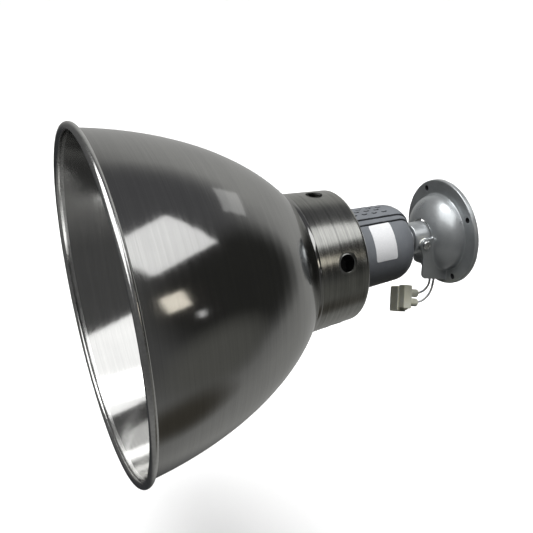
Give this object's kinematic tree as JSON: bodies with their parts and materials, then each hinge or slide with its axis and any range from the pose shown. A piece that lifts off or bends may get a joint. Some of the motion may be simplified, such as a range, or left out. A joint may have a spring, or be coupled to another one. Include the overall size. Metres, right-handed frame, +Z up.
{
  "type": "heat lamp fixture",
  "caption": "Wall-mounted heat lamp fixture: deep spun reflector, vented collar, screw-socket holder and tilting swivel base with a lead connector.",
  "frame": {"origin": "centre of the wall plate's back face, at the middle of its four screw holes", "axes": "+X into the wall, along the lamp axis at rest, with the reflector's open rim at the -X end; +Z up; the lamp tilts down about Y"},
  "size_m": [0.2931, 0.25, 0.25],
  "materials": {
    "spun_aluminium": "satin polished, spun",
    "brushed_collar": "brushed round the axis",
    "grey_housing": "fine satin moulding",
    "silver_casting": "silver metallic paint",
    "zinc_steel": "bright zinc plate",
    "nylon_washer": "natural nylon",
    "ivory_nylon": "natural nylon",
    "black_plastic": "moulded",
    "ring_plastic": "moulded, heat resistant",
    "lead_insulation": "white silicone",
    "tinned_brass": "tinned",
    "socket_ceramic": "unglazed steatite",
    "socket_brass": "nickel-washed brass",
    "sticker_paper": "satin label"
  },
  "bodies": {
    "base": {"base_casting": "silver_casting", "pivot_screw": "zinc_steel", "pivot_washers": "nylon_washer", "pivot_spring_washer": "zinc_steel", "pivot_nut": "zinc_steel", "lead_clamp": "black_plastic", "lead_clamp_screw": "zinc_steel", "supply_lead_a": "lead_insulation", "supply_lead_b": "lead_insulation", "connector_housing": "ivory_nylon", "connector_contacts": "tinned_brass"},
    "lamp": {"swivel_stem": "silver_casting", "stem_nipple": "zinc_steel", "stem_locknut": "zinc_steel", "holder_housing": "grey_housing", "rating_sticker": "sticker_paper", "ceramic_insert": "socket_ceramic", "screw_shell": "socket_brass", "centre_contact": "socket_brass", "contact_screws": "zinc_steel", "terminal_blocks": "socket_brass", "terminal_screws": "zinc_steel", "insert_screws": "zinc_steel", "inner_leads": "lead_insulation", "shade_ring": "ring_plastic", "vented_collar": "brushed_collar", "reflector_shade": "spun_aluminium"}
  },
  "joints": [
    {"name": "tilt", "type": "hinge", "parent": "base", "child": "lamp", "pos_m": [-0.029, 0, 0], "axis": [0, -1, 0], "range_deg": [0, 40]}
  ]
}
